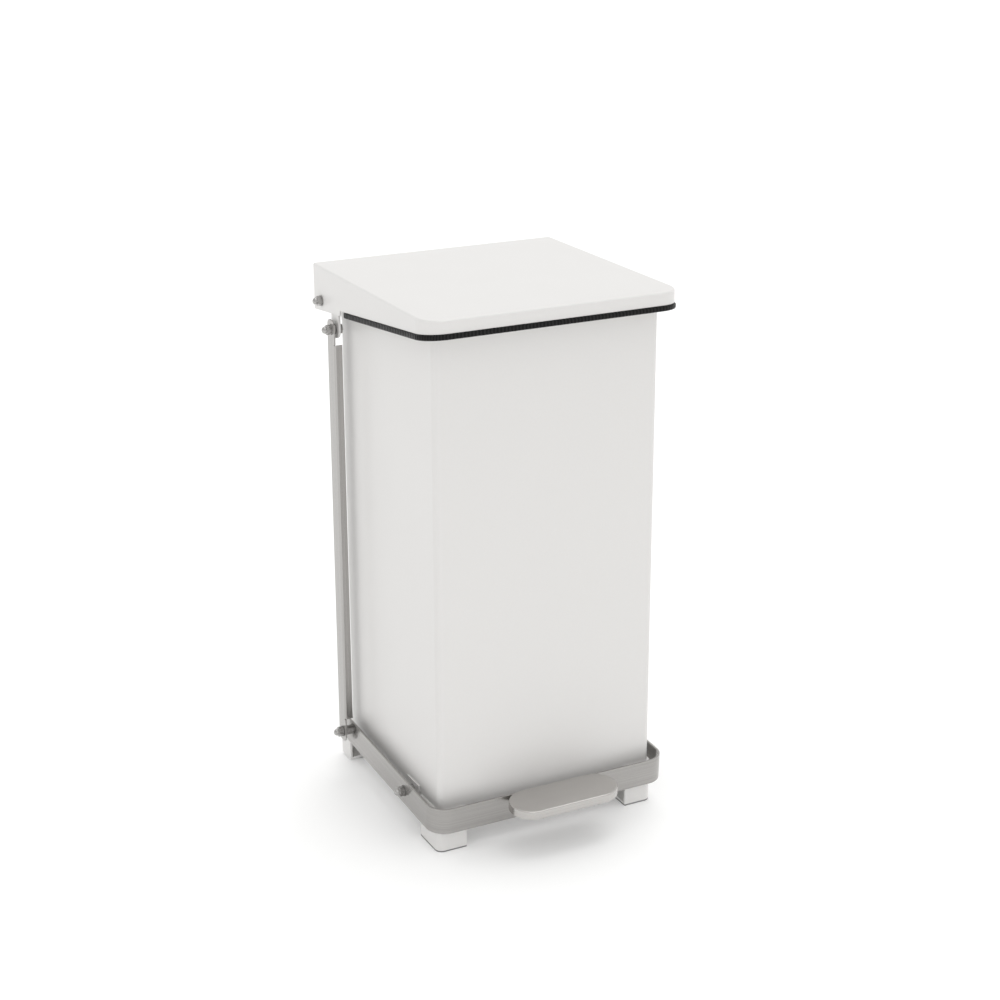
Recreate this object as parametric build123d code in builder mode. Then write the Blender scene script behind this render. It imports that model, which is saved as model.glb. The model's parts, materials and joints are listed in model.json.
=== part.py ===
"""Step-on waste can: a square painted steel can with a pedal frame, two lift rods and a hinged lid.

Millimetres, +Z up, the front faces -Y. The origin is on the floor, midway between the pedal's front
edge and the lid's rear face.
"""
import os
from math import asin, cos, degrees, radians, sin

from build123d import *

os.makedirs("parts", exist_ok=True)

# ---- lid ----
lid_width = 381.0
lid_depth = 381.0
lid_middle = 28.0            # the lid's centre, behind the origin
overall_height = 770.0
lid_front_drop = 18.0        # height of the lid's front skirt
lid_sheet = 1.5
lid_front_radius = 32.0
lid_rear_radius = 3.0
lid_top_round = 3.0          # bend radius round the top edge
seam_slope = 0.11            # the seam between lid and can falls this much per mm rearwards
skirt_step = 7.0             # the skirt hangs this much lower behind the rim
lid_travel = 60.0            # degrees that the lid opens
step_gap = 4.5               # between the trim's end and the step in the skirt
stiffener_width = 40.0
stiffener_end = 35.0         # left free at each end of the stiffener
stiffener_height = 10.0

# ---- can ----
body_width = 338.0
body_depth = 310.0
body_front = -136.0
body_base = 48.0             # underside of the can above the floor
body_sheet = 1.5
body_radius = 8.0
base_lip = 14.0
pan_edge = 16.0
pan_gap = 0.5                # between the base pan and the walls
rim_clearance = 16.8         # between the end of the wide part of the rim and the link tabs
rim_sheet = 1.5
trim_corner = 17.5           # outer radius at the trim's rear ends
trim_height = 8.0
trim_width = 9.0
trim_grip = 5.5              # how far the rubber trim reaches in over the rim's edge
trim_proud = 2.0             # how far the trim stands out beyond the lid
lid_gap = 0.3                # clearance between the skirt and the trim

# ---- liner ----
liner_gap = 6.0              # liner to can wall, at the top
liner_draft = 8.0            # how much narrower each side is at the bottom
liner_wall = 2.5
liner_radius = 20.0
liner_rim_over = 5.0         # how far the liner's rim reaches out over the can's walls
liner_floor_gap = 3.0        # liner to base pan

# ---- hinge ----
hinge_inset = 29.5           # in front of the lid's rear face
hinge_drop = 49.0            # below the lid's top
hinge_plate_gap = 2.0        # between the hinge plate and the rim
ear_x = 162.0                # outer face of the hinge ears
ear_sheet = 2.5
ear_radius = 11.0
hinge_plate_height = 36.0
hinge_plate_sheet = 2.0

# ---- pedal frame ----
pivot_y = -54.0
pivot_rise = 13.0            # above the can's base
frame_tilt = 2.5             # degrees, rear end up, with the lid closed
bar_height = 38.0
bar_sheet = 3.0
bar_front = -104.0           # from the pivot
bar_rear = 212.0             # from the pivot
bar_front_radius = 28.0
bar_end_radius = 12.0
rod_arm = 198.0              # pivot to rod pin
pivot_plate_width = 40.0
pivot_plate_sheet = 2.0
side_play = 0.5              # sideways gap between the frame and its spacers

# ---- pedal ----
pedal_length = 165.0
pedal_reach = 60.0           # in front of the bar's face
pedal_sheet = 2.0
pedal_skirt = 10.0
pedal_round = 1.2            # round the tread's top edge
bracket_width = 60.0
bracket_sheet = 3.0
bracket_reach = 41.0         # in front of the bar's face
bracket_drop = 24.0
bumper_spread = 88.0
bumper_radius = 5.0
bumper_length = 16.0
bumper_round = 2.0
bumper_inset = 12.0          # from the pedal's front edge

# ---- lift rods ----
rod_top_drop = 80.0          # top pin, below the lid's top
rod_leg = 24.0
rod_flange = 12.0
rod_sheet = 2.0
rod_clearance = 3.5          # between the lid's side and the rod
rod_gap = 8.0                # between the pedal bar and the rod
rod_end = 14.0               # rod beyond each pin
rod_end_radius = 8.4
rod_notch_top = 21.0         # the front flange stops this far below the top pin
rod_notch_low = 24.0         # and this far above the lower pin
link_gap = 0.4               # between the rod's inner nut and the link tab

# ---- link tabs on the lid ----
tab_width = 26.0
tab_sheet = 3.0
tab_drop = 16.0              # the tab's top edge, below the lid's top

# ---- feet ----
foot_sheet = 3.0
foot_shelf = 3.0             # thickness of each foot's bottom plate
foot_top = 64.0
front_foot_width = 44.0      # along the can's front
front_foot_length = 58.0     # along its side
front_pad = 2.0
rear_foot_width = 43.0
rear_foot_depth = 32.0
rear_glide = 3.0
rear_glide_radius = 13.0
rear_glide_round = 1.0
foot_ease = 0.5              # the feet's inner corners are this much tighter than the can's

# ---- fasteners ----
pin_radius = 4.0             # every pin and bolt
running_gap = 0.07           # radial clearance of every turning pin
thread_gap = 0.05            # radial clearance of every fixed pin
washer_clearance = 0.2       # radial, between a washer and its pin
nut_across_flats = 12.7
nut_height = 6.0
dome_radius = 5.7
dome_height = 6.0
dome_round = 5.1
washer_radius = 8.0
washer_height = 1.2
sleeve_radius = 7.0
rivet_radius = 4.0
rivet_height = 2.0
rivet_spread = 40.0
rivet_level = 4.0            # above the middle of the bar

# ---- derived ----
lid_front = lid_middle - lid_depth / 2
lid_rear = lid_middle + lid_depth / 2
lid_side = lid_width / 2
seam_front = overall_height - lid_front_drop
body_side = body_width / 2
body_rear = body_front + body_depth
hinge_y = lid_rear - hinge_inset
hinge_z = overall_height - hinge_drop
pivot_z = body_base + pivot_rise
rod_top_z = overall_height - rod_top_drop
rod_inner = lid_side + rod_clearance
rod_outer = rod_inner + rod_sheet
bar_half_width = rod_inner - rod_gap
trim_overhang = trim_width - trim_grip
rim_side = lid_side + trim_proud - trim_overhang
rim_front = lid_front - trim_proud + trim_overhang
rim_front_radius = lid_front_radius + trim_proud - trim_overhang
rim_corner = trim_corner - trim_overhang
trim_top = -lid_gap                       # all of these are measured from the seam
trim_low = trim_top - trim_height
rim_top = (trim_top + trim_low + rim_sheet) / 2
rim_low = rim_top - rim_sheet
link_y = pivot_y + rod_arm * cos(radians(frame_tilt))
rod_low_z = pivot_z + rod_arm * sin(radians(frame_tilt))
rim_end = link_y - tab_width / 2 - rim_clearance
tab_top = overall_height - tab_drop
tab_x = lid_side - lid_sheet              # outer face of the link tabs
foot_side = body_side + foot_sheet
foot_front = body_front - foot_sheet
foot_radius = body_radius + foot_sheet - foot_ease
pin_bore = pin_radius + running_gap
frame_plane = Plane(
    origin=(0, pivot_y, pivot_z),
    x_dir=(1, 0, 0),
    z_dir=(0, -sin(radians(frame_tilt)), cos(radians(frame_tilt))),
)
frame_axis = Axis(frame_plane.origin, frame_plane.z_dir)
bumper_y = bar_front - pedal_reach + bumper_inset
SIDES = ((-1, "left"), (1, "right"))


def seam(y):
    """Height of the seam between lid and can at depth y."""
    return seam_front - seam_slope * (y - lid_front)


def save(piece, name):
    """Label one finished piece and write its STEP file."""
    piece.part.label = name
    export_step(piece.part, "parts/" + name + ".step")


def corner_box(plane, half_width, front, rear, front_radius, rear_radius):
    """A rectangle with one radius on its front corners and another on its rear corners."""
    with BuildSketch(plane) as box:
        with BuildLine():
            Polyline(
                (-half_width, front), (half_width, front), (half_width, rear), (-half_width, rear),
                close=True,
            )
        make_face()
        fillet(box.vertices().group_by(Axis.Y)[0], front_radius)
        if rear_radius > 0:
            fillet(box.vertices().group_by(Axis.Y)[-1], rear_radius)
    return box.sketch


def seam_slab(front, rear, high, low, mode=Mode.ADD):
    """A slab that runs parallel to the seam, between two heights above it."""
    with BuildSketch(Plane.YZ) as profile:
        with BuildLine():
            Polyline(
                (front, seam(front) + high),
                (rear, seam(rear) + high),
                (rear, seam(rear) + low),
                (front, seam(front) + low),
                close=True,
            )
        make_face()
    extrude(profile.sketch, amount=lid_width, both=True, mode=mode)


def side_plane(side, x, y, z):
    """A plane on one side of the can, facing outwards, with its own y upwards."""
    return Plane(origin=(side * x, y, z), x_dir=(0, side, 0), z_dir=(side, 0, 0))


def disc(plane, radius, length, bore=0.0, mode=Mode.ADD):
    """A round pin, washer, sleeve or hole that stands on a plane."""
    with BuildSketch(plane) as profile:
        Circle(radius)
        if bore > 0:
            Circle(bore, mode=Mode.SUBTRACT)
    extrude(profile.sketch, amount=length, mode=mode)


def hex_nut(plane, height, bore):
    """A plain hexagon nut that stands on a plane."""
    with BuildSketch(plane) as profile:
        RegularPolygon(nut_across_flats / 2, 6, major_radius=False)
        Circle(bore, mode=Mode.SUBTRACT)
    extrude(profile.sketch, amount=height)


def cap_nut(nuts, plane, side):
    """A domed cap nut: a hexagon with a rounded cap, over the end of a pin."""
    hex_nut(plane, nut_height, pin_radius + thread_gap)
    disc(plane.offset(nut_height), dome_radius, dome_height)
    end = 0 if side < 0 else -1
    fillet(nuts.edges().filter_by(GeomType.CIRCLE).group_by(Axis.X)[end], dome_round)


def panel(plane, width, length, thickness, mode=Mode.ADD):
    """A flat rectangular plate centred on a plane."""
    with BuildSketch(plane) as profile:
        Rectangle(width, length)
    extrude(profile.sketch, amount=thickness, mode=mode)


# =========================== the can ===========================

floor_plane = Plane.XY.offset(body_base)
inner_radius = body_radius - body_sheet
inner_side = body_side - body_sheet
inner_front = body_front + body_sheet
inner_rear = body_rear - body_sheet

with BuildPart() as body_shell:
    extrude(
        corner_box(floor_plane, body_side, body_front, body_rear, body_radius, body_radius),
        amount=overall_height - body_base,
    )
    floor_top = floor_plane.offset(body_sheet)
    extrude(
        corner_box(floor_top, inner_side, inner_front, inner_rear, inner_radius, inner_radius),
        amount=overall_height,
        mode=Mode.SUBTRACT,
    )
    with BuildSketch(floor_plane):
        with Locations((0, (body_front + body_rear) / 2)):
            RectangleRounded(body_width - 2 * base_lip, body_depth - 2 * base_lip, body_radius)
    extrude(amount=body_sheet, mode=Mode.SUBTRACT)
    seam_slab(lid_front, lid_rear, overall_height, rim_low, mode=Mode.SUBTRACT)
save(body_shell, "body_shell")

with BuildPart() as base_pan:
    pan_plane = floor_plane.offset(body_sheet)
    with BuildSketch(pan_plane):
        with Locations((0, (body_front + body_rear) / 2)):
            pan_depth = inner_rear - inner_front - 2 * pan_gap
            RectangleRounded(2 * (inner_side - pan_gap), pan_depth, inner_radius)
    extrude(amount=pan_edge)
    with BuildSketch(pan_plane.offset(body_sheet)):
        with Locations((0, (body_front + body_rear) / 2)):
            pan_width = 2 * (inner_side - pan_gap - body_sheet)
            RectangleRounded(pan_width, pan_depth - 2 * body_sheet, inner_radius - body_sheet)
    extrude(amount=pan_edge, mode=Mode.SUBTRACT)
save(base_pan, "base_pan")


def rim_outline(grow):
    """The rim's outer edge: as wide as the lid in front, as wide as the can behind rim_end."""
    wide = rim_side + grow
    narrow = body_side + grow
    front = rim_front - grow
    step = rim_end + grow
    rear = body_rear + grow
    with BuildSketch(floor_plane) as outline:
        with BuildLine():
            Polyline(
                (-wide, front), (wide, front), (wide, step), (narrow, step),
                (narrow, rear), (-narrow, rear), (-narrow, step), (-wide, step),
                close=True,
            )
        make_face()
        fillet(outline.vertices().group_by(Axis.Y)[0], rim_front_radius + grow)
        step_corners = outline.vertices().group_by(Axis.Y)[-2]
        fillet(step_corners.filter_by(lambda v: abs(v.X) > narrow + 1), rim_corner + grow)
    return outline.sketch


with BuildPart() as rim_flange:
    seam_slab(rim_front, body_rear, rim_top, rim_low)
    extrude(rim_outline(0), amount=overall_height, mode=Mode.INTERSECT)
    extrude(
        corner_box(floor_plane, inner_side, inner_front, inner_rear, inner_radius, inner_radius),
        amount=overall_height,
        mode=Mode.SUBTRACT,
    )
save(rim_flange, "rim_flange")

with BuildPart() as rim_trim:
    seam_slab(rim_front - trim_overhang, rim_end + trim_overhang, trim_top, trim_low)
    extrude(rim_outline(trim_overhang), amount=overall_height, mode=Mode.INTERSECT)
    extrude(rim_outline(-trim_grip), amount=overall_height, mode=Mode.SUBTRACT)
    with BuildSketch(floor_plane):
        with Locations((0, rim_end)):
            Rectangle(2 * (body_side + trim_grip), 4 * trim_width)
    extrude(amount=overall_height, mode=Mode.SUBTRACT)
    add(rim_flange.part, mode=Mode.SUBTRACT)
save(rim_trim, "rim_trim")

# The liner is a drafted bin that hangs by its rim on the rim flange.
liner_low = body_base + 2 * body_sheet + liner_floor_gap
liner_high = seam_front


def liner_solid(inset, low):
    """The liner's drafted body, inset by its wall or by nothing."""
    side = inner_side - liner_gap - inset
    front = inner_front + liner_gap + inset
    rear = inner_rear - liner_gap - inset
    radius = liner_radius - inset
    bottom = corner_box(
        Plane.XY.offset(low), side - liner_draft, front + liner_draft, rear - liner_draft, radius, radius
    )
    top = corner_box(Plane.XY.offset(liner_high), side, front, rear, radius, radius)
    return bottom, top


with BuildPart() as liner:
    loft(liner_solid(0, liner_low), ruled=True)
    seam_slab(lid_front, lid_rear, overall_height, rim_top + liner_wall, mode=Mode.SUBTRACT)
    with BuildPart(mode=Mode.PRIVATE) as liner_rim:
        seam_slab(lid_front, lid_rear, rim_top + liner_wall, rim_top)
        rim_half = body_side + liner_rim_over
        rim_face = body_front - liner_rim_over
        extrude(
            corner_box(floor_plane, rim_half, rim_face, body_rear, liner_radius, body_radius),
            amount=overall_height,
            mode=Mode.INTERSECT,
        )
    add(liner_rim.part)
    loft(liner_solid(liner_wall, liner_low + liner_wall), ruled=True, mode=Mode.SUBTRACT)
save(liner, "liner")

with BuildPart() as hinge_bracket:
    plate_top = seam(body_rear) + rim_low - hinge_plate_gap
    plate_low = plate_top - hinge_plate_height
    with BuildSketch(Plane.XZ.offset(-body_rear)):
        with Locations((0, (plate_top + plate_low) / 2)):
            Rectangle(2 * ear_x, hinge_plate_height)
    extrude(amount=-hinge_plate_sheet)
    for side, _ in SIDES:
        with BuildSketch(Plane.YZ.offset(side * (ear_x - ear_sheet / 2))):
            with Locations((hinge_y, hinge_z)):
                Circle(ear_radius)
            with Locations((body_rear + hinge_plate_sheet / 2, (plate_top + plate_low) / 2)):
                Rectangle(hinge_plate_sheet, hinge_plate_height)
            make_hull()
        extrude(amount=ear_sheet / 2, both=True)
    with BuildSketch(Plane.YZ):
        with Locations((hinge_y, hinge_z)):
            Circle(pin_radius + running_gap)
    extrude(amount=lid_width, both=True, mode=Mode.SUBTRACT)
save(hinge_bracket, "hinge_bracket")

# ---- feet: sheet angles round the front corners, open boxes behind the rear wall ----


def foot_plan(plane, side, outer, inner, front, rear, radius):
    """A rectangle on one side of the can, with its outer front corner rounded."""
    with BuildSketch(plane) as plan:
        with Locations((side * (outer + inner) / 2, (front + rear) / 2)):
            Rectangle(outer - inner, rear - front)
        if radius > 0:
            corner = plan.vertices().group_by(Axis.Y)[0].sort_by(Axis.X)[0 if side < 0 else -1]
            fillet(corner, radius)
    return plan.sketch


for side, name in SIDES:
    foot_inner = foot_side - front_foot_width
    foot_rear = foot_front + front_foot_length
    with BuildPart() as front_foot:
        extrude(
            foot_plan(
                Plane.XY.offset(front_pad), side, foot_side, foot_inner, foot_front, foot_rear, foot_radius
            ),
            amount=foot_top - front_pad,
        )
        extrude(
            foot_plan(
                Plane.XY.offset(front_pad + foot_shelf), side,
                foot_side - foot_sheet, foot_inner - foot_sheet,
                foot_front + foot_sheet, foot_rear + foot_sheet, foot_radius - foot_sheet,
            ),
            amount=foot_top,
            mode=Mode.SUBTRACT,
        )
    save(front_foot, "front_foot_" + name)

    with BuildPart() as front_foot_pad:
        extrude(
            foot_plan(Plane.XY, side, foot_side, foot_inner, foot_front, foot_rear, foot_radius),
            amount=front_pad,
        )
    save(front_foot_pad, "front_foot_pad_" + name)

    rear_foot_inner = foot_side - rear_foot_width
    with BuildPart() as rear_foot:
        extrude(
            foot_plan(
                Plane.XY.offset(rear_glide), side, foot_side, rear_foot_inner, body_rear,
                body_rear + rear_foot_depth, 0,
            ),
            amount=foot_top - rear_glide,
        )
        extrude(
            foot_plan(
                Plane.XY.offset(rear_glide + foot_shelf), side,
                foot_side - foot_sheet, rear_foot_inner + foot_sheet,
                body_rear - foot_sheet, body_rear + rear_foot_depth - foot_sheet, 0,
            ),
            amount=foot_top - rear_glide - foot_shelf - foot_sheet,
            mode=Mode.SUBTRACT,
        )
    save(rear_foot, "rear_foot_" + name)

    with BuildPart() as rear_foot_glide:
        middle = Vector(side * (foot_side - rear_foot_width / 2), body_rear + rear_foot_depth / 2, 0)
        disc(Plane(middle), rear_glide_radius, rear_glide)
        fillet(rear_foot_glide.edges().group_by(Axis.Z)[0], rear_glide_round)
    save(rear_foot_glide, "rear_foot_glide_" + name)

# ---- the pedal frame's pivots on the can ----
pivot_face = body_side + pivot_plate_sheet
bar_inner = bar_half_width - bar_sheet
for side, name in SIDES:
    with BuildPart() as pivot_plate:
        plate_height = 2 * (pivot_z - body_base)
        face = side_plane(side, body_side, pivot_y, pivot_z)
        panel(face, pivot_plate_width, plate_height, pivot_plate_sheet)
    save(pivot_plate, "pivot_plate_" + name)

    pivot_nut_face = bar_half_width + side_play + washer_height
    with BuildPart() as pivot_pin:
        pin_length = pivot_nut_face + nut_height - pivot_face
        disc(side_plane(side, pivot_face, pivot_y, pivot_z), pin_radius, pin_length)
    save(pivot_pin, "pivot_pin_" + name)

with BuildPart() as pivot_spacers:
    for side, _ in SIDES:
        face = side_plane(side, pivot_face, pivot_y, pivot_z)
        disc(face, sleeve_radius, bar_inner - side_play - pivot_face, pin_radius + thread_gap)
save(pivot_spacers, "pivot_spacers")

with BuildPart() as pivot_washers:
    for side, _ in SIDES:
        face = side_plane(side, bar_half_width + side_play, pivot_y, pivot_z)
        disc(face, washer_radius, washer_height, pin_radius + washer_clearance)
save(pivot_washers, "pivot_washers")

with BuildPart() as pivot_cap_nuts:
    for side, _ in SIDES:
        cap_nut(pivot_cap_nuts, side_plane(side, pivot_nut_face, pivot_y, pivot_z), side)
save(pivot_cap_nuts, "pivot_cap_nuts")

# =========================== the lid ===========================

lid_low = seam(lid_rear) - skirt_step
step_y = rim_end + trim_overhang + step_gap
with BuildPart() as lid_shell:
    lid_plane = Plane.XY.offset(lid_low)
    extrude(
        corner_box(lid_plane, lid_side, lid_front, lid_rear, lid_front_radius, lid_rear_radius),
        amount=overall_height - lid_low,
    )
    fillet(lid_shell.edges().group_by(Axis.Z)[-1], lid_top_round)
    with BuildPart(mode=Mode.PRIVATE) as lid_inside:
        extrude(
            corner_box(
                lid_plane, lid_side - lid_sheet, lid_front + lid_sheet, lid_rear - lid_sheet,
                lid_front_radius - lid_sheet, lid_rear_radius - lid_sheet,
            ),
            amount=overall_height - lid_sheet - lid_low,
        )
        fillet(lid_inside.edges().group_by(Axis.Z)[-1], lid_top_round - lid_sheet)
    add(lid_inside.part, mode=Mode.SUBTRACT)
    seam_slab(lid_front - 1, step_y, 0, -overall_height / 2, mode=Mode.SUBTRACT)
    seam_slab(lid_front - 1, lid_rear + 1, -skirt_step, -overall_height / 2, mode=Mode.SUBTRACT)
    with BuildSketch(Plane.YZ):
        with Locations((hinge_y, hinge_z)):
            Circle(pin_radius + thread_gap)
    extrude(amount=lid_width, both=True, mode=Mode.SUBTRACT)
save(lid_shell, "lid_shell")

with BuildPart() as lid_stiffener:
    under_lid = Plane((0, lid_middle, overall_height - lid_sheet))
    length = lid_width - 2 * stiffener_end
    inner_width = stiffener_width - 2 * lid_sheet
    panel(under_lid, length, stiffener_width, -stiffener_height)
    panel(under_lid, length, inner_width, lid_sheet - stiffener_height, mode=Mode.SUBTRACT)
save(lid_stiffener, "lid_stiffener")

for side, name in SIDES:
    with BuildPart() as link_tab:
        with BuildSketch(side_plane(side, tab_x - tab_sheet, link_y, rod_top_z)):
            Circle(tab_width / 2)
            with Locations((0, (tab_top - rod_top_z) / 2)):
                Rectangle(tab_width, tab_top - rod_top_z)
        extrude(amount=tab_sheet)
    save(link_tab, "link_tab_" + name)

with BuildPart() as link_weld_nuts:
    for side, _ in SIDES:
        face = side_plane(side, tab_x - tab_sheet, link_y, rod_top_z)
        hex_nut(face, -nut_height, pin_radius + thread_gap)
save(link_weld_nuts, "link_weld_nuts")

hinge_nut_face = lid_side + washer_height
with BuildPart() as hinge_rod:
    rod_reach = hinge_nut_face + nut_height
    disc(side_plane(-1, rod_reach, hinge_y, hinge_z), pin_radius, -2 * rod_reach)
save(hinge_rod, "hinge_rod")

with BuildPart() as hinge_spacers:
    for side, _ in SIDES:
        start = ear_x + side_play
        face = side_plane(side, start, hinge_y, hinge_z)
        disc(face, sleeve_radius, tab_x - start, pin_radius + thread_gap)
save(hinge_spacers, "hinge_spacers")

with BuildPart() as hinge_washers:
    for side, _ in SIDES:
        face = side_plane(side, lid_side, hinge_y, hinge_z)
        disc(face, washer_radius, washer_height, pin_radius + washer_clearance)
save(hinge_washers, "hinge_washers")

with BuildPart() as hinge_cap_nuts:
    for side, _ in SIDES:
        cap_nut(hinge_cap_nuts, side_plane(side, hinge_nut_face, hinge_y, hinge_z), side)
save(hinge_cap_nuts, "hinge_cap_nuts")

# =========================== the pedal frame ===========================

with BuildPart() as pedal_bar:
    low_plane = frame_plane.offset(-bar_height / 2)
    extrude(
        corner_box(low_plane, bar_half_width, bar_front, bar_rear, bar_front_radius, 0),
        amount=bar_height,
    )
    extrude(
        corner_box(
            low_plane, bar_inner, bar_front + bar_sheet, bar_rear + bar_sheet,
            bar_front_radius - bar_sheet, 0,
        ),
        amount=bar_height,
        mode=Mode.SUBTRACT,
    )
    end_edges = pedal_bar.edges().filter_by(Axis.X).sort_by(Axis.Y)[-4:]
    fillet(end_edges, bar_end_radius)
    for y, z, radius in ((pivot_y, pivot_z, pin_bore), (link_y, rod_low_z, pin_radius + thread_gap)):
        with BuildSketch(Plane.YZ):
            with Locations((y, z)):
                Circle(radius)
        extrude(amount=lid_width, both=True, mode=Mode.SUBTRACT)
save(pedal_bar, "pedal_bar")

tread_plane = frame_plane.offset(bar_height / 2)
tread_depth = pedal_reach + bar_sheet
tread_middle = bar_front + bar_sheet - tread_depth / 2
with BuildPart() as pedal_tray:
    with BuildSketch(tread_plane):
        with Locations((0, tread_middle)):
            SlotOverall(pedal_length, tread_depth)
    extrude(amount=pedal_sheet)
    fillet(pedal_tray.edges().sort_by(frame_axis)[-4:], pedal_round)
    with BuildSketch(tread_plane):
        with Locations((0, tread_middle)):
            SlotOverall(pedal_length, tread_depth)
            SlotOverall(pedal_length - 2 * pedal_sheet, tread_depth - 2 * pedal_sheet, mode=Mode.SUBTRACT)
        with Locations((0, bar_front + tread_depth / 2)):
            Rectangle(pedal_length, tread_depth, mode=Mode.SUBTRACT)
    extrude(amount=-pedal_skirt)
save(pedal_tray, "pedal_tray")

with BuildPart() as pedal_bracket:
    with BuildSketch(tread_plane):
        with Locations((0, bar_front - bracket_reach / 2)):
            Rectangle(bracket_width, bracket_reach)
    extrude(amount=-bracket_sheet)
    with BuildSketch(tread_plane):
        with Locations((0, bar_front - bracket_sheet / 2)):
            Rectangle(bracket_width, bracket_sheet)
    extrude(amount=-bracket_drop)
save(pedal_bracket, "pedal_bracket")

with BuildPart() as pedal_rivets:
    bracket_face = frame_plane.from_local_coords((0, bar_front - bracket_sheet, rivet_level))
    with BuildSketch(Plane(bracket_face, x_dir=(1, 0, 0), z_dir=-frame_plane.y_dir)):
        with Locations((-rivet_spread / 2, 0), (rivet_spread / 2, 0)):
            Circle(rivet_radius)
    extrude(amount=rivet_height)
save(pedal_rivets, "pedal_rivets")

with BuildPart() as pedal_bumpers:
    with BuildSketch(tread_plane):
        with Locations((-bumper_spread / 2, bumper_y), (bumper_spread / 2, bumper_y)):
            Circle(bumper_radius)
    extrude(amount=-bumper_length)
    fillet(pedal_bumpers.edges().filter_by(GeomType.CIRCLE).sort_by(frame_axis)[:2], bumper_round)
save(pedal_bumpers, "pedal_bumpers")

with BuildPart() as rod_pins:
    for side, _ in SIDES:
        start = bar_inner - nut_height
        end = rod_outer + side_play + washer_height + nut_height
        disc(side_plane(side, start, link_y, rod_low_z), pin_radius, end - start)
save(rod_pins, "rod_pins")

with BuildPart() as rod_pin_nuts:
    for side, _ in SIDES:
        hex_nut(side_plane(side, bar_inner, link_y, rod_low_z), -nut_height, pin_radius + thread_gap)
save(rod_pin_nuts, "rod_pin_nuts")

with BuildPart() as rod_spacers:
    for side, _ in SIDES:
        length = rod_gap - side_play
        face = side_plane(side, bar_half_width, link_y, rod_low_z)
        disc(face, sleeve_radius, length, pin_radius + thread_gap)
save(rod_spacers, "rod_spacers")

with BuildPart() as rod_washers:
    for side, _ in SIDES:
        face = side_plane(side, rod_outer + side_play, link_y, rod_low_z)
        disc(face, washer_radius, washer_height, pin_radius + washer_clearance)
save(rod_washers, "rod_washers")

with BuildPart() as rod_cap_nuts:
    for side, _ in SIDES:
        face = side_plane(side, rod_outer + side_play + washer_height, link_y, rod_low_z)
        cap_nut(rod_cap_nuts, face, side)
save(rod_cap_nuts, "rod_cap_nuts")

# =========================== the lift rods ===========================

for side, name in SIDES:
    with BuildPart() as lift_rod:
        length = rod_top_z - rod_low_z + 2 * rod_end
        with BuildSketch(side_plane(side, rod_inner, link_y, (rod_top_z + rod_low_z) / 2)):
            RectangleRounded(rod_leg, length, rod_end_radius)
        extrude(amount=rod_sheet)
        flange_low = rod_low_z + rod_notch_low
        flange_high = rod_top_z - rod_notch_top
        with BuildSketch(Plane.XY.offset(flange_low)):
            with Locations((side * (rod_outer - rod_flange / 2), link_y - rod_leg / 2 + rod_sheet / 2)):
                Rectangle(rod_flange, rod_sheet)
        extrude(amount=flange_high - flange_low)
        for height, bore in ((rod_low_z, pin_bore), (rod_top_z, pin_radius + thread_gap)):
            disc(side_plane(side, rod_inner, link_y, height), bore, rod_sheet, mode=Mode.SUBTRACT)
    save(lift_rod, "lift_rod_" + name)

    bolt_start = tab_x + link_gap
    with BuildPart() as lift_bolt:
        bolt_end = rod_outer + washer_height + nut_height
        disc(side_plane(side, bolt_start, link_y, rod_top_z), pin_radius, bolt_end - bolt_start)
    save(lift_bolt, "lift_bolt_" + name)

    with BuildPart() as lift_inner_nut:
        face = side_plane(side, bolt_start, link_y, rod_top_z)
        hex_nut(face, rod_inner - bolt_start, pin_radius + thread_gap)
    save(lift_inner_nut, "lift_inner_nut_" + name)

    with BuildPart() as lift_washer:
        face = side_plane(side, rod_outer, link_y, rod_top_z)
        disc(face, washer_radius, washer_height, pin_radius + washer_clearance)
    save(lift_washer, "lift_washer_" + name)

    with BuildPart() as lift_cap_nut:
        cap_nut(lift_cap_nut, side_plane(side, rod_outer + washer_height, link_y, rod_top_z), side)
    save(lift_cap_nut, "lift_cap_nut_" + name)

# The lid's opening angle, the frame's swing that lifts the rods as far, and where each hinge is.
lever_y = hinge_y - link_y
lever_z = hinge_z - rod_top_z
lid_open = radians(lid_travel)
rise = lever_y * sin(lid_open) + lever_z * (1 - cos(lid_open))
swing = asin(rise / rod_arm + sin(radians(frame_tilt))) - radians(frame_tilt)
print("lid opens", lid_travel, "degrees; frame swings", round(degrees(swing), 4), "degrees")
print("rise of the link pins", round(rise, 3))
print("link pins at y", round(link_y, 4), "z", rod_top_z, "and", round(rod_low_z, 4))
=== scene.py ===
"""Looks of the step-on waste can: painted sheet steel, brushed stainless pedal frame, rubber edging."""
import json
import math

import bmesh
import bpy
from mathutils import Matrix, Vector


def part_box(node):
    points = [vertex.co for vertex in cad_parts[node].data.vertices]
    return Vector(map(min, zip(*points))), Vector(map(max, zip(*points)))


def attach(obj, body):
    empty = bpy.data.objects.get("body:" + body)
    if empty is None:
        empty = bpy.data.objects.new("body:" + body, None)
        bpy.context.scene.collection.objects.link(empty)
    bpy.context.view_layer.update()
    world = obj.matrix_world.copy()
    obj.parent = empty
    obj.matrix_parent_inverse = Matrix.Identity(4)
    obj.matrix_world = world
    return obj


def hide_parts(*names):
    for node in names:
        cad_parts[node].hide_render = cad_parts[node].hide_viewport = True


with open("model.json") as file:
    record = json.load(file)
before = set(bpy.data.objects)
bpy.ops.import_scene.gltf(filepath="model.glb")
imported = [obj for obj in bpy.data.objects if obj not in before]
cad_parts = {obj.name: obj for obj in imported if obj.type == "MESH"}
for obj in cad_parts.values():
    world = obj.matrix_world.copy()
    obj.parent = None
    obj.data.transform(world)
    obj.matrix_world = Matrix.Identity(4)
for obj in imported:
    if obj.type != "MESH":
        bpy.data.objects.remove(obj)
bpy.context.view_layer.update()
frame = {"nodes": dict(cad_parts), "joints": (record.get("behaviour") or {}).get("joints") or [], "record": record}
MM = 0.001
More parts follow.
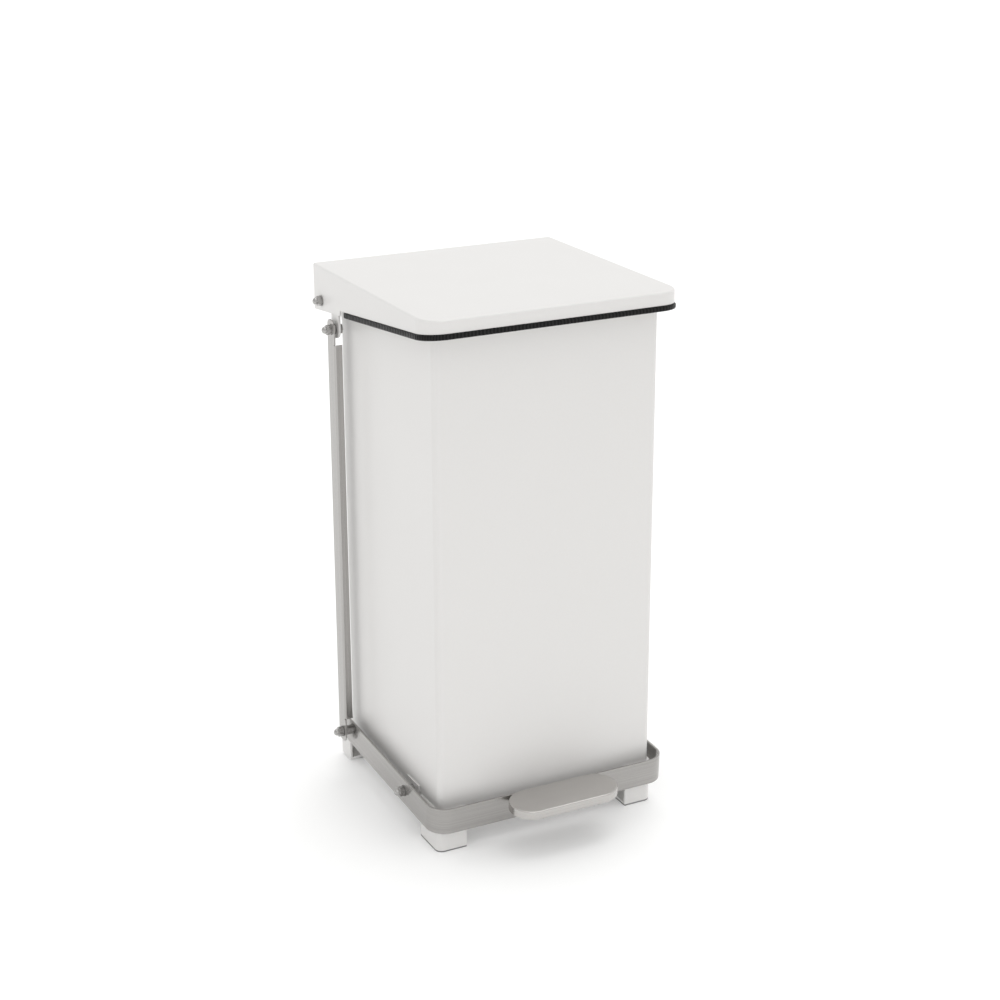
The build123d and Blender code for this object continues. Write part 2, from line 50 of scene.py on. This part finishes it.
SIDES = ((-1, "left"), (1, "right"))

# ---------------------------------------------------------------- places, from the frame
lid_low, lid_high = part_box("lid_shell")
trim_low, trim_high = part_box("rim_trim")
can_low, can_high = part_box("body_shell")
bar_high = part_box("pedal_bar")[1]
joints = {joint["name"]: joint for joint in frame["joints"]}
pivot_point = Vector(joints["pedal_pivot"]["pos_m"])

# ---------------------------------------------------------------- sizes

# the lid
lid_sheet = 1.5 * MM
lid_side = lid_high.x
lid_front_radius = 32 * MM
lid_rear_radius = 3 * MM
lid_top_round = 2.9 * MM
lid_gap = 0.3 * MM
lid_edge = 0.35 * MM
seam_slope = 0.11
skirt_step = 7 * MM
skirt_step_gap = 4.5 * MM      # from the rubber's end back to the step in the skirt
skirt_step_run = 0.4 * MM

# the rubber edging
trim_height = 8 * MM
trim_width = 9 * MM
trim_round = 2.6 * MM
trim_inner_round = 1 * MM
trim_proud = 2 * MM
trim_end_radius = 17.5 * MM
trim_edge = 0.8 * MM
rib_pitch = 5.2 * MM

# the can
can_sheet = 1.5 * MM
can_radius = 8 * MM
can_lip = 14 * MM
can_base_bend = 3 * MM
rim_depth = 4.75 * MM          # from the rubber's top down to the can's rim

# the pedal frame, its depths measured from the pivot along the tilted bar
frame_tilt = math.radians(2.5)
bar_height = 38 * MM
bar_sheet = 3 * MM
bar_front = -104 * MM
bar_rear = 212 * MM
bar_front_radius = 28 * MM
bar_end_radius = 12 * MM
bar_edge = 0.45 * MM
tread_sheet = 2 * MM
tread_front = -164 * MM
tread_skirt = 10 * MM
tread_round = 2.4 * MM
tread_flat_inset = 3 * MM

# the lift rods
rod_sheet = 2 * MM
rod_flange = 12 * MM
rod_bend = 3 * MM
rod_end_radius = 8.4 * MM
rod_flange_low = 38 * MM       # from the rod's foot up to its flange
rod_flange_high = 35 * MM      # from the rod's top down to its flange
rod_cut_run = 1.2 * MM

# the cap nuts
nut_across_flats = 12.7 * MM
nut_height = 6 * MM
nut_foot = 0.5 * MM
nut_chamfer = 1.1 * MM
nut_corner_cut = 0.75 * MM
nut_dome_height = 6 * MM
nut_dome_radius = 5.0 * MM
nut_dome_round = 4.6 * MM
nut_fillet_out = 0.25 * MM
nut_fillet_up = 0.3 * MM
nut_first_turn = 0.3           # radians
nut_turn_step = 0.7            # radians, so that no two nuts stand alike

# how finely curves are divided, small edge radii, and mesh cleaning
edge_steps = 6
bend_steps = 8
rod_rows = 8
rod_columns = 6
bar_rows = 3                   # above the bar's middle, and as many below
fine_edge = 0.3 * MM
cad_edge = 0.25 * MM
weld_distance = 2e-6
thinnest_face = 1e-7
tolerance = 1e-6

# light, floor and camera
sky_top = 0.89
sky_horizon = 0.96
sky_front = 1.05
sky_left = 0.92
sky_tint = (1, 1, 0.992, 1)
band_strength = 3.0
band_side = (0.985, -0.17)
band_half_width = 0.03
key_strength = 0.76
key_spread = math.radians(45)
key_direction = (-0.45, -0.45, -2.6)
floor_reach = 60.0
floor_glow = 0.12
camera_place = (-1.1989, -2.3611, 1.4027)
camera_down = math.radians(18.495)
camera_turn = math.radians(-27.25)
camera_lens = 71.44
camera_shift = (-0.0133, -0.0444)


def seam(y):
    """Height of the rubber edging's top at depth y."""
    return trim_high.z - seam_slope * (y - trim_low.y)


# ---------------------------------------------------------------- shader writing


class Value:
    """A shader socket that can be added, multiplied and subtracted like a number, on either side."""

    def __init__(self, tree, socket):
        self.tree = tree
        self.socket = socket

    def maths(self, operation, *values):
        return self.tree.node("ShaderNodeMath", {"operation": operation}, values)

    def __add__(self, other):
        return self.maths("ADD", self, other)

    def __sub__(self, other):
        return self.maths("SUBTRACT", self, other)

    def __rsub__(self, other):
        return self.maths("SUBTRACT", other, self)

    def __mul__(self, other):
        return self.maths("MULTIPLY", self, other)

    __radd__ = __add__
    __rmul__ = __mul__

    def sine(self):
        return self.maths("SINE", self)

    def size(self):
        return self.maths("ABSOLUTE", self)

    def spread(self, low, high, to_low=0.0, to_high=1.0):
        """Maps low..high to to_low..to_high, smoothly and held at both ends."""
        smooth = {"interpolation_type": "SMOOTHSTEP"}
        return self.tree.node("ShaderNodeMapRange", smooth, (self, low, high, to_low, to_high))


class Tree:
    """A node tree that is written as sums of values."""

    def __init__(self, node_tree, coordinate="Object"):
        self.node_tree = node_tree
        self.place = self.node("ShaderNodeTexCoord", output=coordinate)

    def join(self, value, socket):
        """Links a value to a socket, or sets the socket to a plain value."""
        if isinstance(value, Value):
            self.node_tree.links.new(value.socket, socket)
        elif value is not None:
            socket.default_value = value

    def node(self, kind, settings=None, values=(), output=0):
        """Makes one node: its settings first, then its sockets by order or by name."""
        made = self.node_tree.nodes.new(kind)
        for name, value in (settings or {}).items():
            setattr(made, name, value)
        for key, value in values.items() if isinstance(values, dict) else enumerate(values):
            self.join(value, made.inputs[key])
        return Value(self, made.outputs[output])

    def axes(self):
        """The X, Y and Z of the place: metres on an object, a direction in the sky."""
        split = self.node("ShaderNodeSeparateXYZ", values=(self.place,))
        return [Value(self, output) for output in split.socket.node.outputs]

    def noise(self, scale, detail=2.0, place=None):
        return self.node("ShaderNodeTexNoise", values=(place or self.place, None, scale, detail))

    def vector(self, x, y, z):
        return self.node("ShaderNodeCombineXYZ", values=(x, y, z))

    def blend(self, amount, low, high):
        """A colour between low and high."""
        colours = {"Factor": amount, "A": low, "B": high}
        return self.node("ShaderNodeMix", {"data_type": "RGBA"}, colours, "Result")


class Shader(Tree):
    """One material's node tree, with its Principled shader."""

    def __init__(self, name, **uniform):
        self.material = bpy.data.materials.new(name)
        self.material.use_nodes = True
        super().__init__(self.material.node_tree)
        self.surface = self.node_tree.nodes["Principled BSDF"]
        for socket, value in uniform.items():
            self.set(socket.replace("_", " "), value)

    def set(self, socket, value):
        self.join(value, self.surface.inputs[socket])

    def bump(self, height, distance):
        self.set("Normal", self.node("ShaderNodeBump", values={"Distance": distance, "Height": height}))


usual = (0.3, 0.7)             # where nearly all of a noise lies


def grey(level, warmth=0.0):
    """A near-neutral colour; warmth lifts red and lowers blue."""
    return (level * (1 + warmth), level, level * (1 - warmth), 1)


def powder_coat():
    """White powder coat: semi-gloss, a fine orange peel over slightly wavy sheet."""
    s = Shader("white_powder_coat", IOR=1.5)
    peel = s.noise(450, 1)
    wave = s.noise(5, 0)
    mottle = s.noise(380, 3)
    patches = s.noise(9, 1)
    s.set("Base Color", s.blend(mottle, grey(0.695, 0.016), grey(0.715, 0.014)))
    s.set("Roughness", patches.spread(*usual, 0.29, 0.33))
    s.bump(peel * 0.004 + wave * 0.35, 0.5 * MM)
    return s.material


def brushed_steel(name, along, low, high, turn, tilt=0.0):
    """Stainless brushed along the listed axes: one, or both 0 and 1 for a bar bent in plan.

    The streaks are a coarser copy of the grain; tilt leans both with the pedal frame.
    """
    s = Shader(name, Metallic=1.0, Anisotropic=0.8, Anisotropic_Rotation=turn)
    x, y, z = s.axes()
    fine, slow = 5200.0, 5.0
    scales = [slow if axis in along else fine for axis in range(3)]
    coarse = [scale * share for scale, share in zip(scales, (0.18, 0.5, 0.18))]
    z = z - y * math.tan(tilt)
    grain = s.noise(1.0, 3, s.vector(x * scales[0], y * scales[1], z * scales[2]))
    streak = s.noise(1.0, 2, s.vector(x * coarse[0], y * coarse[1], z * coarse[2]))
    s.set("Base Color", s.blend((streak * 0.6 + grain * 0.4).spread(0.25, 0.75), low, high))
    s.set("Roughness", (grain * 0.5 + streak * 0.5).spread(*usual, 0.20, 0.26))
    s.bump(grain, 0.01 * MM)
    return s.material


def plated():
    """Bright plated fasteners with faint turning marks and dulled patches."""
    s = Shader("plated_hardware", Metallic=1.0)
    dull = s.noise(260, 3)
    s.set("Base Color", s.blend(dull, grey(0.32, 0.02), grey(0.50, 0.015)))
    s.set("Roughness", dull.spread(0.35, 0.7, 0.12, 0.24))
    s.bump(s.noise(1500, 2), 0.02 * MM)
    return s.material


def rubber():
    """Black edging with fine ribs across its length."""
    s = Shader("black_rubber", Specular_IOR_Level=0.14)
    x, y, z = s.axes()
    along = x.size() + y
    ribs = (along * (2 * math.pi / rib_pitch)).sine()
    bloom = s.noise(90, 3)
    # The colour follows the ribs: painted highlight on the rib crests and painted shade in the troughs, on top of
    # their bump; the bloom is the rubber's own.
    s.set("Base Color", s.blend(bloom * 0.5 + ribs * 0.5, grey(0.003), grey(0.02, 0.01)))
    s.set("Roughness", bloom.spread(*usual, 0.32, 0.44))
    s.bump(ribs * 0.5 + s.noise(900, 2) * 0.2, 0.35 * MM)
    return s.material


def moulded(name, low, high, rough):
    """Moulded plastic with a fine spark texture."""
    uneven = 0.06
    s = Shader(name)
    s.set("Base Color", s.blend(s.noise(14, 3), grey(low), grey(high)))
    s.set("Roughness", s.noise(60, 2).spread(*usual, rough - uneven, rough + uneven))
    s.bump(s.noise(1400, 2), 0.06 * MM)
    return s.material


upright, sideways = 0.0, 0.25      # turn of the stretched highlights, in whole turns
# One brushed stainless throughout: the bar's tones are set darker as painted shade and the tread's lighter as
# painted light, with the rods' in between, to match how light falls on each part.
bar_tones = (grey(0.30, 0.03), grey(0.43, 0.03))
rod_tones = (grey(0.36, 0.025), grey(0.48, 0.025))
tread_tones = (grey(0.44, 0.03), grey(0.57, 0.03))
paint = powder_coat()
steel_bar = brushed_steel("steel_along_bar", (0, 1), *bar_tones, sideways, frame_tilt)
steel_rod = brushed_steel("steel_along_rod", (2,), *rod_tones, upright)
steel_tread = brushed_steel("steel_across_tread", (0,), *tread_tones, sideways, frame_tilt)
hardware = plated()
edging = rubber()
bin_plastic = moulded("grey_liner", 0.20, 0.24, 0.5)
glide_plastic = moulded("dark_glide", 0.03, 0.05, 0.55)
sleeve_plastic = moulded("pale_sleeve", 0.5, 0.56, 0.45)
pad_plastic = moulded("foot_pad", 0.16, 0.20, 0.6)

# ---------------------------------------------------------------- mesh writing


def piece(name, points, faces, material, body, stands_for, inside):
    """Makes one mesh piece whose faces look away from the point inside, riding on a body."""
    mesh = bpy.data.meshes.new(name)
    mesh.from_pydata([tuple(p) for p in points], [], faces)
    tidy = bmesh.new()
    tidy.from_mesh(mesh)
    bmesh.ops.remove_doubles(tidy, verts=tidy.verts, dist=weld_distance)
    bmesh.ops.dissolve_degenerate(tidy, edges=tidy.edges, dist=thinnest_face)
    bmesh.ops.recalc_face_normals(tidy, faces=tidy.faces)
    outward = 0.0
    for face in tidy.faces:
        outward += face.calc_area() * face.normal.dot(face.calc_center_median() - Vector(inside))
    if outward < 0:
        bmesh.ops.reverse_faces(tidy, faces=tidy.faces)
    tidy.to_mesh(mesh)
    tidy.free()
    mesh.materials.append(material)
    mesh.shade_smooth()
    made = bpy.data.objects.new(name, mesh)
    bpy.context.scene.collection.objects.link(made)
    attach(made, body)
    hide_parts(*stands_for)
    return made


def thicken(made, thickness):
    """Gives a sheet its thickness, inwards from the outer skin."""
    sheet = made.modifiers.new("sheet", "SOLIDIFY")
    sheet.thickness = thickness
    sheet.offset = -1
    sheet.use_even_offset = True


def soften(made, width, segments=2, angle=35):
    """Rounds the sharp edges and keeps the flats flat."""
    edge = made.modifiers.new("edge", "BEVEL")
    edge.width = width
    edge.segments = segments
    edge.limit_method = "ANGLE"
    edge.angle_limit = math.radians(angle)
    edge.harden_normals = True
    made.modifiers.new("flats", "WEIGHTED_NORMAL").keep_sharp = True


def bands(rows, closed):
    """Quads between neighbouring rows of points, all rows being as long as the first."""
    count = len(rows[0])
    faces = []
    for r in range(len(rows) - 1):
        for i in range(count if closed else count - 1):
            j = (i + 1) % count
            faces.append((r * count + i, r * count + j, (r + 1) * count + j, (r + 1) * count + i))
    return faces


def arc(centre_x, centre_y, radius, start, stop, steps):
    """(point, outward normal) pairs on an arc in plan, angles in degrees."""
    out = []
    for k in range(steps + 1):
        a = math.radians(start + (stop - start) * k / steps)
        n = Vector((math.cos(a), math.sin(a)))
        out.append((Vector((centre_x, centre_y)) + n * radius, n))
    return out


def plan_box(side, front, rear, front_radius, rear_radius, steps=10):
    """A closed plan outline with rounded corners, from its rear left corner anticlockwise."""
    f, r = front_radius, rear_radius
    return (
        arc(-side + r, rear - r, r, 90, 180, steps)
        + arc(-side + f, front + f, f, 180, 270, steps)
        + arc(side - f, front + f, f, 270, 360, steps)
        + arc(side - r, rear - r, r, 0, 90, steps)
    )


def with_points_at(outline, depths):
    """Adds points where the two straight sides pass the given depths y."""
    out = []
    for i, (p, n) in enumerate(outline):
        q, _ = outline[(i + 1) % len(outline)]
        out.append((p, n))
        if abs(n.x) > 0.99 and abs(p.x - q.x) < 1 * MM and abs(p.y - q.y) > 20 * MM:
            for y in sorted(depths, reverse=p.y > q.y):
                out.append((Vector((p.x, y)), n))
    return out


def ring(outline, inset, height):
    """One row of points: the outline moved inwards, at a height that may follow the depth."""
    row = []
    for p, n in outline:
        moved = p - n * inset
        row.append(Vector((moved.x, moved.y, height(p.y) if callable(height) else height)))
    return row


def quarter(steps):
    """Angles from 0 to a quarter turn, both ends included."""
    return [math.pi / 2 * k / steps for k in range(steps + 1)]


def rolled(outline, radius, top):
    """Rows that turn a wall over a quarter circle into a flat top."""
    rows = []
    for a in quarter(edge_steps):
        rows.append(ring(outline, radius * (1 - math.cos(a)), top - radius * (1 - math.sin(a))))
    return rows


def skin(rows, cap=False):
    """Points and faces of closed rows, with a flat cap inside the last one."""
    count = len(rows[0])
    points = [p for row in rows for p in row]
    faces = bands(rows, True)
    if cap:
        last = (len(rows) - 1) * count
        faces.append(tuple(range(last, last + count)))
    return points, faces


def lid_piece():
    """The lid: one pressed sheet, rolled over at the top, with a skirt that follows the seam."""
    step = trim_high.y + skirt_step_gap
    outline = plan_box(lid_side, lid_low.y, lid_high.y, lid_front_radius, lid_rear_radius, 14)
    outline = with_points_at(outline, [step - skirt_step_run, step])

    def hem(y):
        drop = skirt_step if y > step - skirt_step_run / 2 else 0.0
        return seam(y) + lid_gap - drop

    rows = [ring(outline, 0, hem)] + rolled(outline, lid_top_round, lid_high.z)
    points, faces = skin(rows, cap=True)
    inside = (0, (lid_low.y + lid_high.y) / 2, lid_low.z)
    made = piece("lid_skin", points, faces, paint, "lid", ["lid_shell"], inside)
    thicken(made, lid_sheet)
    soften(made, lid_edge)


def can_piece():
    """The can: four walls with small corner radii and a lip turned in under the base."""
    outline = plan_box(can_high.x, can_low.y, can_high.y, can_radius, can_radius, 8)

    def rim(y):
        return seam(y) - rim_depth

    bend = can_base_bend
    rows = [ring(outline, can_lip, can_low.z), ring(outline, bend + 1 * MM, can_low.z)]
    for a in quarter(edge_steps):
        rows.append(ring(outline, bend * (1 - math.sin(a)), can_low.z + bend * (1 - math.cos(a))))
    rows.append(ring(outline, 0, rim))
    points, faces = skin(rows)
    inside = (0, (can_low.y + can_high.y) / 2, can_high.z / 2)
    made = piece("can_skin", points, faces, paint, "can", ["body_shell"], inside)
    thicken(made, can_sheet)
    soften(made, fine_edge)


def trim_piece():
    """Rubber edging: a rounded strip swept along the rim's front and sides, its ends turned in."""
    side, front, rear = trim_high.x, trim_low.y, trim_high.y
    front_radius = lid_front_radius + trim_proud
    left = arc(-side + trim_end_radius, rear - trim_end_radius, trim_end_radius, 90, 180, 12)
    left += arc(-side + front_radius, front + front_radius, front_radius, 180, 270, 18)
    path = left + [(Vector((-p.x, p.y)), Vector((-n.x, n.y))) for p, n in reversed(left)]
    section = []
    for inward, down, start, radius in (
        (trim_round, trim_round, 180, trim_round),
        (trim_width - trim_inner_round, trim_inner_round, 90, trim_inner_round),
        (trim_width - trim_inner_round, trim_height - trim_inner_round, 0, trim_inner_round),
        (trim_round, trim_height - trim_round, 270, trim_round),
    ):
        for k in range(edge_steps + 1):
            a = math.radians(start - 90 * k / edge_steps)
            section.append((inward + math.cos(a) * radius, -down + math.sin(a) * radius))
    rows = []
    for p, n in path:
        row = []
        for inward, up in section:
            q = p - n * inward
            row.append(Vector((q.x, q.y, seam(p.y) + up)))
        rows.append(row)
    points, faces = skin(rows)
    count = len(section)
    faces.append(tuple(range(count)))
    faces.append(tuple(range(len(points) - count, len(points))))
    inside = (0, 0, trim_low.z)
    made = piece("rim_edging", points, faces, edging, "can", ["rim_trim"], inside)
    soften(made, trim_edge, segments=3, angle=50)


def rod_piece(side, name):
    """A lift rod: sheet angle with a rounded bend, its front flange cut away at both ends."""
    low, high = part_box("lift_rod_" + name)
    outer = max(abs(low.x), abs(high.x))
    front, rear = low.y, high.y
    flange_low, flange_high = low.z + rod_flange_low, high.z - rod_flange_high
    levels = [low.z + rod_end_radius * (1 - math.cos(a)) for a in quarter(bend_steps)]
    levels += [flange_low - rod_cut_run, flange_low]
    levels += [flange_low + (flange_high - flange_low) * k / rod_rows for k in range(1, rod_rows + 1)]
    levels += [flange_high + rod_cut_run]
    levels += [high.z - rod_end_radius * (1 - math.cos(a)) for a in reversed(quarter(bend_steps))]
    plate, bend = [], []
    for z in levels:
        from_end = min(z - low.z, high.z - z)
        inset = 0.0
        if from_end < rod_end_radius:
            rise = rod_end_radius - from_end
            inset = rod_end_radius - math.sqrt(max(0.0, rod_end_radius**2 - rise**2))
        cut = rod_bend if flange_low - tolerance <= z <= flange_high + tolerance else 0.0
        first, last = rear - inset, front + max(inset, cut)
        depths = [first + (last - first) * k / rod_columns for k in range(rod_columns + 1)]
        plate.append([Vector((side * outer, y, z)) for y in depths])
        if cut:
            row = []
            for a in quarter(bend_steps):
                x = outer - rod_bend * (1 - math.cos(a))
                row.append(Vector((side * x, front + rod_bend * (1 - math.sin(a)), z)))
            row.append(Vector((side * (outer - rod_flange), front, z)))
            bend.append(row)
    points = [p for row in plate for p in row]
    faces = bands(plate, False)
    start = len(points)
    points += [p for row in bend for p in row]
    faces += [tuple(start + i for i in face) for face in bands(bend, False)]
    well_inside = 100 * MM     # on the hollow side of the angle
    inside = (side * (outer - well_inside), rear + well_inside, (low.z + high.z) / 2)
    made = piece("lift_angle_" + name, points, faces, steel_rod, "rod_" + name, ["lift_rod_" + name],
                 inside)
    thicken(made, rod_sheet)
    soften(made, fine_edge)


def tilted(x, y, z):
    """A place in the pedal frame's own tilted axes, from its pivot, in the row frame."""
    c, s = math.cos(frame_tilt), math.sin(frame_tilt)
    return Vector((x, pivot_point.y + y * c - z * s, pivot_point.z + y * s + z * c))


def bar_piece():
    """The pedal bar: one flat bar bent into a U, with rounded rear ends."""
    half, r = bar_high.x, bar_front_radius
    path = []
    for a in quarter(bend_steps):
        along = bar_end_radius * (1 - math.cos(a))
        drop = math.sqrt(max(0.0, bar_end_radius**2 - (bar_end_radius - along) ** 2))
        path.append((Vector((-half, bar_rear - along)), bar_height / 2 - bar_end_radius + drop))
    path += [(p, bar_height / 2) for p, n in arc(-half + r, bar_front + r, r, 180, 270, 16)]
    path += [(Vector((-p.x, p.y)), h) for p, h in reversed(path)]
    rows = [[tilted(p.x, p.y, h * k / bar_rows) for p, h in path] for k in range(-bar_rows, bar_rows + 1)]
    points = [p for row in rows for p in row]
    made = piece("u_bar", points, bands(rows, False), steel_bar, "pedal_frame", ["pedal_bar"],
                 tilted(0, 0, 0))
    thicken(made, bar_sheet)
    soften(made, bar_edge)


def tread_piece():
    """The pedal's tread: a stadium with a rolled edge, skirted in front of the bar."""
    low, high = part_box("pedal_tray")
    half = high.x
    depth = bar_front + bar_sheet - tread_front
    r = depth / 2
    middle = tread_front + r
    bar_angle = math.degrees(math.asin((bar_front - middle) / r))
    angles = sorted({*range(-90, 91, 5), bar_angle - 0.4, bar_angle + 0.1})
    right = [(math.radians(a), half - r) for a in angles]
    outline = []
    for a, x in right:
        n = Vector((math.cos(a), math.sin(a)))
        outline.append((Vector((x, middle)) + n * r, n))
    outline += [(Vector((-p.x, p.y)), Vector((-n.x, n.y))) for p, n in reversed(outline)]
    top = bar_height / 2 + tread_sheet

    def row(inset, height):
        out = []
        for p, n in outline:
            q = p - n * inset
            z = height(p.y) if callable(height) else height
            out.append(tilted(q.x, q.y, z))
        return out

    def hem(y):
        return top - tread_sheet - tread_skirt if y < bar_front - 0.1 * MM else top - tread_round

    rows = [row(0, hem)]
    for a in quarter(edge_steps):
        rows.append(row(tread_round * (1 - math.cos(a)), top - tread_round * (1 - math.sin(a))))
    rows.append(row(tread_round + tread_flat_inset, top))
    points, faces = skin(rows, cap=True)
    made = piece("tread", points, faces, steel_tread, "pedal_frame", ["pedal_tray"],
                 tilted(0, middle, -top))
    thicken(made, tread_sheet)
    soften(made, fine_edge)


def cap_nut_mesh(base, side, turn):
    """Points and faces of one domed cap nut: a chamfered hexagon under a dome, along +X or -X."""
    steps, chamfer_steps, dome_steps = 60, 5, 9
    half = nut_across_flats / 2
    corner = half / math.cos(math.pi / 6)
    chamfer = math.tan(math.radians(30))
    rows = []
    profile = [(0.0, None), (nut_foot, None)]
    profile += [(nut_height - nut_chamfer * (1 - k / chamfer_steps), None) for k in range(chamfer_steps + 1)]
    straight = nut_height + nut_dome_height - nut_dome_round
    flat = nut_dome_radius - nut_dome_round
    profile += [(nut_height, nut_dome_radius + nut_fillet_out)]
    profile += [(nut_height + nut_fillet_up, nut_dome_radius), (straight, nut_dome_radius)]
    for a in quarter(dome_steps)[1:-1]:
        profile.append((straight + nut_dome_round * math.sin(a), flat + nut_dome_round * math.cos(a)))
    for along, radius in profile:
        row = []
        for k in range(steps):
            a = 2 * math.pi * k / steps
            if radius is None:
                into = (a + math.pi / 6) % (math.pi / 3) - math.pi / 6
                r = half / math.cos(into)
                from_face = min(along, nut_height - along)
                r = min(r, corner - nut_corner_cut + from_face / chamfer)
            else:
                r = radius
            y, z = r * math.cos(a + turn), r * math.sin(a + turn)
            row.append(Vector((side * (base + along), y, z)))
        rows.append(row)
    points, faces = skin(rows)
    faces.append(tuple(range(steps)))
    points.append(Vector((side * (base + nut_height + nut_dome_height), 0, 0)))
    last = (len(rows) - 1) * steps
    faces += [(last + k, last + (k + 1) % steps, len(points) - 1) for k in range(steps)]
    return points, faces


def cap_nut_pieces():
    """All the cap nuts: on the hinge, the frame's pivots and both ends of the lift rods."""
    places = [
        ("hinge_cap_nuts", "lid", SIDES, "hinge_domes"),
        ("pivot_cap_nuts", "can", SIDES, "pivot_domes"),
        ("rod_cap_nuts", "pedal_frame", SIDES, "rod_domes"),
    ]
    for side, name in SIDES:
        places.append(("lift_cap_nut_" + name, "rod_" + name, ((side, name),), "lift_dome_" + name))
    turn = nut_first_turn
    for node, body, sides, name in places:
        low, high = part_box(node)
        reach = max(abs(low.x), abs(high.x))
        middle = (low + high) / 2
        points, faces = [], []
        for side, _ in sides:
            turn += nut_turn_step
            some, these = cap_nut_mesh(reach - nut_height - nut_dome_height, side, turn)
            faces += [tuple(len(points) + i for i in face) for face in these]
            points += [p + Vector((0, middle.y, middle.z)) for p in some]
        inside = (0, middle.y, middle.z)
        made = piece(name, points, faces, hardware, body, [node], inside)
        made.data.set_sharp_from_angle(angle=math.radians(28))


# ---------------------------------------------------------------- the other CAD pieces


def finish_cad():
    """Gives every CAD piece that still shows its finish and small edge radii."""
    finishes = {
        "white_paint": paint,
        "brushed_steel": steel_tread,
        "plated_hardware": hardware,
        "black_rubber": edging,
        "grey_liner": bin_plastic,
        "glide": glide_plastic,
        "sleeve": sleeve_plastic,
    }
    slots = {part["node"]: part["material_slot"] for part in frame["record"]["subparts"]}
    special = {
        "rod_spacers": hardware,
        "pivot_spacers": hardware,
        "front_foot_pad_left": pad_plastic,
        "front_foot_pad_right": pad_plastic,
    }
    for name, node in frame["nodes"].items():
        for place in node.material_slots:
            place.material = special.get(name, finishes[slots[name]])
        if not node.hide_render:
            soften(node, cad_edge, angle=40)


# ---------------------------------------------------------------- studio


def floor_piece():
    """A wide pale floor, a little darker far out in front as painted shade for the metals to reflect."""
    s = Shader("studio_floor", Roughness=0.9, Specular_IOR_Level=0.0, Emission_Strength=floor_glow,
               Emission_Color=(1, 1, 1, 1))
    x, y, z = s.axes()
    # painted shade: the floor darkens far out in front, so the metals reflect a darker surround there
    out = x * 0.3 - y * 0.95
    s.set("Base Color", s.blend(out.spread(1.4, 4.0), grey(0.90), grey(0.70)))
    mesh = bpy.data.meshes.new("floor")
    steps, rim = 48, []
    for k in range(steps):
        a = 2 * math.pi * k / steps
        rim.append((math.cos(a) * floor_reach, math.sin(a) * floor_reach, 0))
    mesh.from_pydata(rim, [], [tuple(range(steps))])
    mesh.materials.append(s.material)
    floor = bpy.data.objects.new("floor", mesh)
    bpy.context.scene.collection.objects.link(floor)


def sky():
    """An even white surround with one brighter upright band at the front left."""
    world = bpy.data.worlds.new("studio")
    bpy.context.scene.world = world
    world.use_nodes = True
    s = Tree(world.node_tree, "Generated")
    x, y, z = s.axes()
    level = z.spread(-0.1, 1.0, sky_horizon, sky_top) * y.spread(-0.9, 0.4, sky_front, 1.0)
    level = level * x.spread(-0.9, 0.3, sky_left, 1.0)
    from_band = (x * band_side[0] + y * band_side[1]).size()
    band = from_band.spread(0.0, band_half_width, band_strength, 0.0)
    shade = world.node_tree.nodes["Background"]
    s.join(level + band * y.spread(-0.02, 0.0, 1.0, 0.0), shade.inputs["Strength"])
    shade.inputs["Color"].default_value = sky_tint


def key_light():
    """One broad soft sun, high at the back right."""
    data = bpy.data.lights.new("key", "SUN")
    data.energy = key_strength
    data.angle = key_spread
    made = bpy.data.objects.new("key", data)
    made.rotation_euler = Vector(key_direction).to_track_quat("-Z", "Y").to_euler()
    bpy.context.scene.collection.objects.link(made)


def camera():
    """A long lens from above and to the left of the front."""
    data = bpy.data.cameras.new("camera")
    data.sensor_width = 36.0
    data.lens = camera_lens
    data.shift_x, data.shift_y = camera_shift
    data.clip_end = 200.0
    made = bpy.data.objects.new("camera", data)
    made.location = camera_place
    made.rotation_euler = (math.pi / 2 - camera_down, 0, camera_turn)
    bpy.context.scene.collection.objects.link(made)
    bpy.context.scene.camera = made


lid_piece()
can_piece()
trim_piece()
for rod_side, rod_name in SIDES:
    rod_piece(rod_side, rod_name)
bar_piece()
tread_piece()
cap_nut_pieces()
finish_cad()
floor_piece()
sky()
key_light()
camera()
bpy.context.scene.view_settings.view_transform = "Standard"
